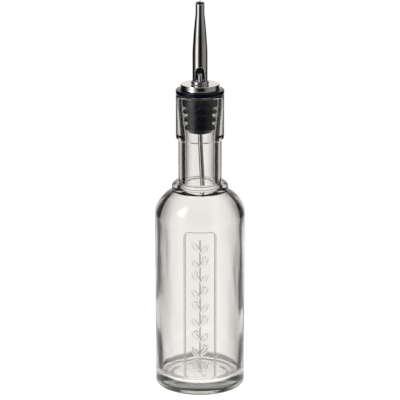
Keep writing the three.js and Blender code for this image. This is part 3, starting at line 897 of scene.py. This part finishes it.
# %% Node group helpers
def new_group(name, inputs, outputs):
    """A shader node group with float inputs {name: default} and the named float outputs."""
    group = bpy.data.node_groups.new(name, "ShaderNodeTree")
    for label, value in inputs.items():
        socket = group.interface.new_socket(name=label, in_out="INPUT", socket_type="NodeSocketFloat")
        socket.default_value = value
    for label in outputs:
        group.interface.new_socket(name=label, in_out="OUTPUT", socket_type="NodeSocketFloat")
    return group, group.nodes.new("NodeGroupInput"), group.nodes.new("NodeGroupOutput")


def place_group(tree, group, **values):
    """Puts a group into a material and sets its inputs."""
    node = tree.nodes.new("ShaderNodeGroup")
    node.node_tree = group
    for key, value in values.items():
        node.inputs[key.replace("_", " ")].default_value = value
    return node


def noise_node(tree, stretch, scale, detail=3.0):
    """Noise over the object's own coordinates, which are first multiplied by stretch along each axis."""
    stretched = add_node(tree, "ShaderNodeVectorMath", operation="MULTIPLY")
    stretched.inputs[1].default_value = stretch
    tree.links.new(add_node(tree, "ShaderNodeTexCoord").outputs["Object"], stretched.inputs[0])
    node = add_node(tree, "ShaderNodeTexNoise", Detail=detail)
    if isinstance(scale, (int, float)):
        node.inputs["Scale"].default_value = scale
    else:
        tree.links.new(scale, node.inputs["Scale"])
    tree.links.new(stretched.outputs[0], node.inputs["Vector"])
    return node.outputs["Fac"]


# %% Handling marks
handling_marks, given, result = new_group(
    "handling_marks", {"Patch Scale": 90.0, "Strength": 1.0}, ["Mask"]
)
patches = noise_node(handling_marks, (1, 1, 1), given.outputs["Patch Scale"])
broken = noise_node(handling_marks, (1, 1, 1.6), 640.0, detail=2.0)
soft_patch = soft_step(handling_marks, patches, 0.42, 0.7)
speckled = math_node(handling_marks, "MULTIPLY", soft_patch, soft_step(handling_marks, broken, 0.25, 0.7))
marks_mask = math_node(handling_marks, "MULTIPLY", speckled, given.outputs["Strength"], clamp=True)
handling_marks.links.new(marks_mask, result.inputs["Mask"])
print("group", handling_marks.name)

# %% Fine scratches
fine_scratches, given, result = new_group(
    "fine_scratches", {"Scratch Scale": 900.0, "Strength": 1.0}, ["Mask"]
)
families = []
for stretch in ((1, 1, 0.06), (0.12, 1, 1), (1, 0.15, 0.7)):
    lines = noise_node(fine_scratches, stretch, given.outputs["Scratch Scale"], detail=1.0)
    near_middle = math_node(fine_scratches, "ABSOLUTE", math_node(fine_scratches, "SUBTRACT", lines, 0.5))
    families.append(soft_step(fine_scratches, near_middle, 0.022, 0.0))
first_two = math_node(fine_scratches, "MAXIMUM", *families[:2])
strongest = math_node(fine_scratches, "MAXIMUM", first_two, families[2])
scratch_mask = math_node(fine_scratches, "MULTIPLY", strongest, given.outputs["Strength"], clamp=True)
fine_scratches.links.new(scratch_mask, result.inputs["Mask"])
print("group", fine_scratches.name)

# %% [markdown]
# ## Clear glass
#
# Soda glass has an index of about 1.52 and takes up a little light, most in the thick base, which turns it
# faintly grey-green. The mould leaves a slow ripple and, near the base, a fine stipple. Its two halves meet
# in a faint seam up both sides. Only the roughness and the normal vary. A specular tint takes some of the
# glare off the front of the neck, as a polarising filter does.

# %% Material helpers
def new_material(name, **sockets):
    """A material, its node tree and its shader, whose sockets are set by name."""
    material = bpy.data.materials.new(name)
    material.use_nodes = True
    shader = material.node_tree.nodes["Principled BSDF"]
    for key, value in sockets.items():
        shader.inputs[key.replace("_", " ")].default_value = value
    return material, material.node_tree, shader


def add_bumps(tree, shader, layers):
    """Chains Bump nodes, from coarse to fine. Each layer is a height, a depth in metres and a strength."""
    normal = None
    for bump_height, distance, strength in layers:
        bump = add_node(tree, "ShaderNodeBump", Strength=strength, Distance=distance)
        tree.links.new(bump_height, bump.inputs["Height"])
        if normal:
            tree.links.new(normal, bump.inputs["Normal"])
        normal = bump.outputs["Normal"]
    tree.links.new(normal, shader.inputs["Normal"])


def mapped(tree, value, low, high):
    """Turns a 0 to 1 mask into a value between low and high."""
    node = add_node(tree, "ShaderNodeMapRange")
    node.inputs["To Min"].default_value = low
    node.inputs["To Max"].default_value = high
    tree.links.new(value, node.inputs["Value"])
    return node.outputs["Result"]


def tint_base(tree, shader, mask, clean, dull):
    """Blends the base colour from clean to dull, each red, green and blue, by a mask."""
    tint = add_node(tree, "ShaderNodeMix", data_type="RGBA", blend_type="MIX")
    tint.inputs["A"].default_value = (*clean, 1)
    tint.inputs["B"].default_value = (*dull, 1)
    tree.links.new(mask, tint.inputs["Factor"])
    tree.links.new(tint.outputs["Result"], shader.inputs["Base Color"])


# %% Clear glass
GLASS_INDEX = 1.52
GLASS_TINT = (0.946, 0.947, 0.945, 1)
GLASS_DENSITY = 300.0     # absorption per metre, on the part of each colour that the tint leaves out
STIPPLE_TOP, STIPPLE_FULL = 7 * MM, 1.5 * MM
SEAM_HALF_WIDTH = 0.5 * MM

glass, tree, shader = new_material(
    "clear_glass", Transmission_Weight=1.0, IOR=GLASS_INDEX, Base_Color=(1, 1, 1, 1), Metallic=0.0,
    Specular_Tint=(0.5, 0.5, 0.5, 1),
)
marks = place_group(tree, handling_marks, Patch_Scale=55.0, Strength=0.8)
tree.links.new(mapped(tree, marks.outputs["Mask"], 0.0, 0.03), shader.inputs["Roughness"])

place = add_node(tree, "ShaderNodeSeparateXYZ")
tree.links.new(add_node(tree, "ShaderNodeTexCoord").outputs["Object"], place.inputs[0])
ripple = noise_node(tree, (1, 1, 0.55), 75.0, detail=1.0)
low_down = soft_step(tree, place.outputs["Z"], STIPPLE_TOP, STIPPLE_FULL)
stipple = math_node(tree, "MULTIPLY", noise_node(tree, (1, 1, 1), 1500.0), low_down)
seam = soft_step(tree, math_node(tree, "ABSOLUTE", place.outputs["Y"]), SEAM_HALF_WIDTH, 0.0)
add_bumps(tree, shader, [(ripple, 0.4 * MM, 0.3), (stipple, 0.2 * MM, 0.2), (seam, 0.1 * MM, 0.5)])

absorption = add_node(tree, "ShaderNodeVolumeAbsorption", Color=GLASS_TINT, Density=GLASS_DENSITY)
tree.links.new(absorption.outputs[0], tree.nodes["Material Output"].inputs["Volume"])
lost_per_mm = 1 - math.exp(-GLASS_DENSITY * (1 - GLASS_TINT[1]) * MM)
print("glass loses", round(100 * lost_per_mm, 1), "% of the green light in a millimetre")

# %% [markdown]
# ## Stopper plastic
#
# The stopper is moulded in a bluish black, halfway between gloss and satin. Spark-eroded mould steel leaves a
# very fine grain. Handling polishes some of it and leaves faint scratches and a little dust, so both the
# roughness and the colour wander slightly.

# %% Stopper plastic
polymer, tree, shader = new_material("stopper_polymer", IOR=1.5, Specular_IOR_Level=0.16)
marks = place_group(tree, handling_marks, Patch_Scale=160.0, Strength=1.0)
scratches = place_group(tree, fine_scratches, Scratch_Scale=520.0, Strength=0.5)
dull = math_node(tree, "MULTIPLY_ADD", scratches.outputs["Mask"], 0.35, marks.outputs["Mask"])
tree.links.new(mapped(tree, dull, 0.14, 0.32), shader.inputs["Roughness"])
tint_base(tree, shader, dull, (0.001, 0.0013, 0.006), (0.003, 0.0036, 0.009))
grain = noise_node(tree, (1, 1, 1), 3800.0, detail=2.0)
add_bumps(tree, shader, [(grain, 0.06 * MM, 0.35)])
print("material", polymer.name)

# %% [markdown]
# ## Polished and drawn steel
#
# Cap, spout, barrel and ring are the same stainless steel. The cap and the spout are polished almost to a
# mirror, so what they show is the studio, and their own detail is in fine scratches and fingermarks. The
# breather is left as drawn: duller, with lines that run along it. One builder makes both, with its own
# numbers.

# %% Steel
DULL_SHADE = 0.86         # how bright the dullest steel is, against the cleanest


def steel(name, colour, roughness, mark_scale, scratch_strength, draw_lines):
    """Stainless steel. Roughness is (cleanest, dullest), and draw_lines is the strength of its long lines."""
    material, tree, shader = new_material(name, Metallic=1.0)
    marks = place_group(tree, handling_marks, Patch_Scale=mark_scale, Strength=1.0)
    scratches = place_group(tree, fine_scratches, Scratch_Scale=700.0, Strength=scratch_strength)
    dull = math_node(tree, "MULTIPLY_ADD", scratches.outputs["Mask"], 0.5, marks.outputs["Mask"])
    tree.links.new(mapped(tree, dull, *roughness), shader.inputs["Roughness"])
    tint_base(tree, shader, dull, colour, [DULL_SHADE * c for c in colour])
    drawn = noise_node(tree, (1, 1, 0.02), 2600.0, detail=2.0)
    add_bumps(tree, shader, [(drawn, 0.04 * MM, draw_lines), (scratches.outputs["Mask"], -0.02 * MM, 0.3)])
    print("material", name)
    return material


polished = steel("polished_steel", (0.66, 0.66, 0.67), (0.02, 0.09), 170.0, 0.5, 0.04)
drawn_tube = steel("tube_steel", (0.6, 0.6, 0.61), (0.08, 0.2), 260.0, 0.8, 0.3)

# %% [markdown]
# ## Put it together
#
# Each piece gets its material and rides on the body it belongs to: the bottle, the stopper or the pourer.
# Each one takes the place of its plain solid. The bottle casts no shadow, because a real one passes most of
# the light on to the table.

# %% Materials and bodies
PIECES = [
    (bottle, glass, "bottle", "glass_bottle", "clear_glass"),
    (stopper, polymer, "stopper", "stopper", "stopper_polymer"),
    (cap, polished, "pourer", "cap_plate", "polished_steel"),
    (barrel, polished, "pourer", "stem_barrel", "polished_steel"),
    (spout, polished, "pourer", "spout", "polished_steel"),
    (brazing, polished, "pourer", "spout_collar", "polished_steel"),
    (breather, drawn_tube, "pourer", "breather_tube", "tube_steel"),
]
for piece, material, body, node, slot_name in PIECES:
    piece.data.materials.clear()
    piece.data.materials.append(material)
    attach(piece, body)
    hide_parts(node)
bottle.visible_shadow = False
